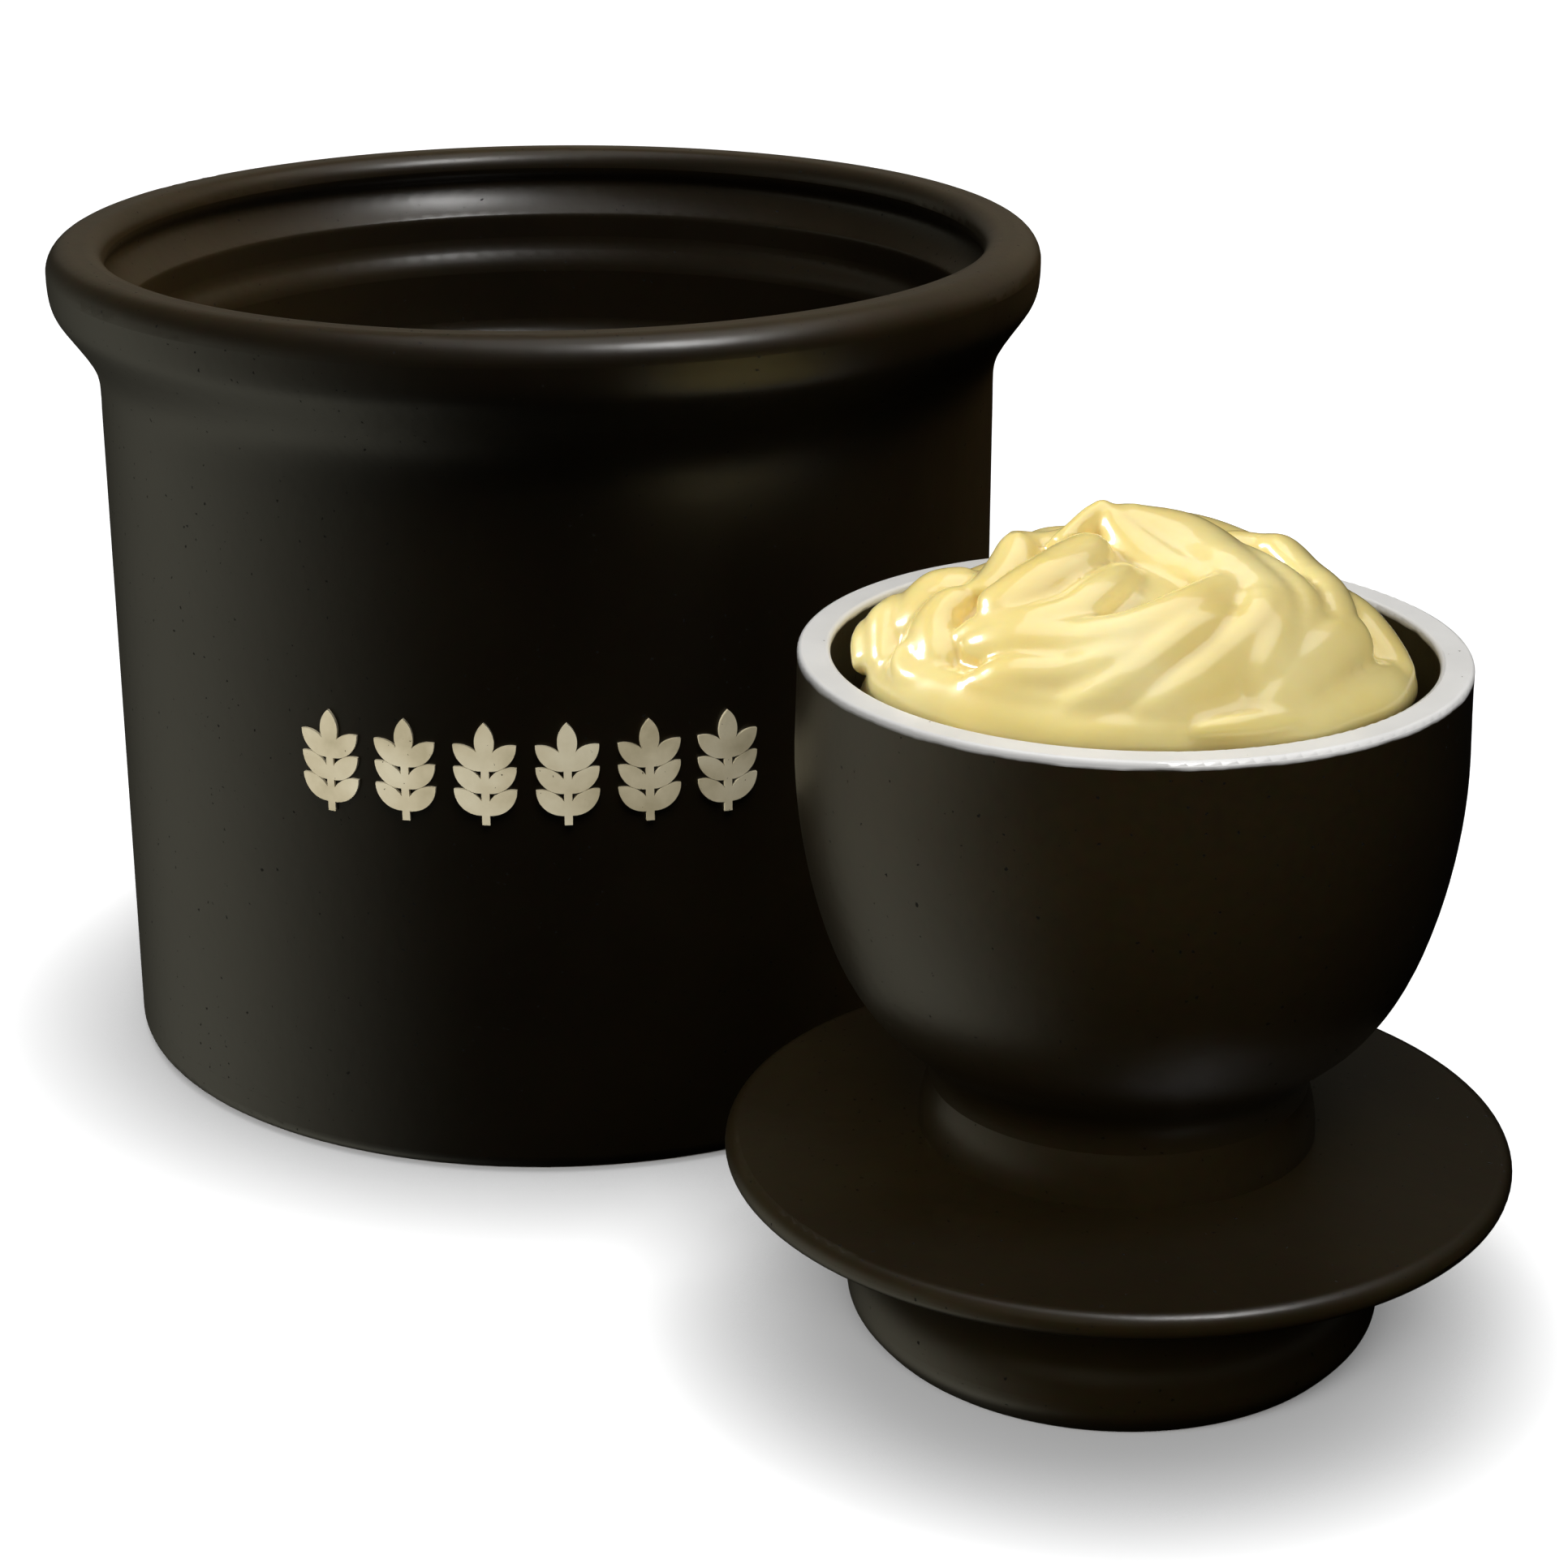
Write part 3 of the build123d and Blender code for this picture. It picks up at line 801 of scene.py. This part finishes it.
# Places and sizes are in metres, and powers in watts.
LIGHTS = {
    "floor_top": dict(
        place=(0.4, 0.5, 2.4), aim=(0.4, 0.5, 0.0), size=(4.0, 4.0), power=48, glossy=False, only=[ground]
    ),
    "ware_top": dict(
        place=(0.4, 0.5, 2.4), aim=(0.4, 0.5, 0.0), size=(4.0, 4.0), power=38, glossy=False, only=WARE
    ),
    "butter_top": dict(
        place=(0.2, 0.2, 1.6), aim=(0.1, 0.0, 0.0), size=(1.5, 1.5), power=12, only=[mound, RING]
    ),
    "butter_left": dict(
        place=bearing_place(165, 40, 0.85), aim=(0.06, -0.08, 0.08), size=(0.26, 0.22), power=6.8,
        only=[mound]
    ),
    "butter_front": dict(
        place=bearing_place(-70, 24, 0.8), aim=(0.06, -0.08, 0.08), size=(0.5, 0.4), power=2.4, glossy=False,
        only=[mound, RING]
    ),
    "crock_back": dict(
        place=bearing_place(72, 24, 1.3), aim=(0, 0, 0.09), size=(2.6, 0.9), power=0.95,
        colour=(1.0, 0.93, 0.78), diffuse=False, only=CROCK
    ),
    "crock_right": dict(
        place=bearing_place(-45, 62, 0.75), aim=(0.02, -0.02, 0.08), size=(0.08, 0.22), power=2.6,
        diffuse=False, only=WARE
    ),
    "right_fill": dict(
        place=bearing_place(38, 48, 0.9), aim=(0.03, -0.03, 0.06), size=(0.5, 0.5), power=22,
        colour=(1.0, 0.90, 0.68), glossy=False, only=CROCK
    ),
    "crock_front": dict(
        place=bearing_place(-72, 72, 1.0), aim=(0, 0, 0.09), size=(0.4, 0.4), power=6.5,
        colour=(1.0, 0.88, 0.62), glossy=False, only=CROCK
    ),
    "floor_front": dict(
        place=bearing_place(-100, 26, 1.2), aim=(0.06, -0.1, 0), size=(1.0, 0.4), power=12, glossy=False,
        only=[ground]
    ),
    "lid_front": dict(
        place=bearing_place(-100, 38, 0.9), aim=(0.06, -0.08, 0.03), size=(0.5, 0.5), power=9,
        colour=(0.97, 0.93, 0.74), glossy=False, only=LID
    ),
    "inside_gloss": dict(
        place=(0.15, 0.10, 1.1), aim=(0.15, 0.1, 0.0), size=(0.9, 0.9), power=2.0, diffuse=False, only=WARE
    ),
    "emblem_fill": dict(
        place=bearing_place(-125, 30, 0.8), aim=(0, -0.05, 0.05), size=(0.3, 0.3), power=5,
        colour=(1.0, 0.97, 0.86), glossy=False, only=[EMBLEM]
    ),
}
for name, light in LIGHTS.items():
    soft_light(name, **light)
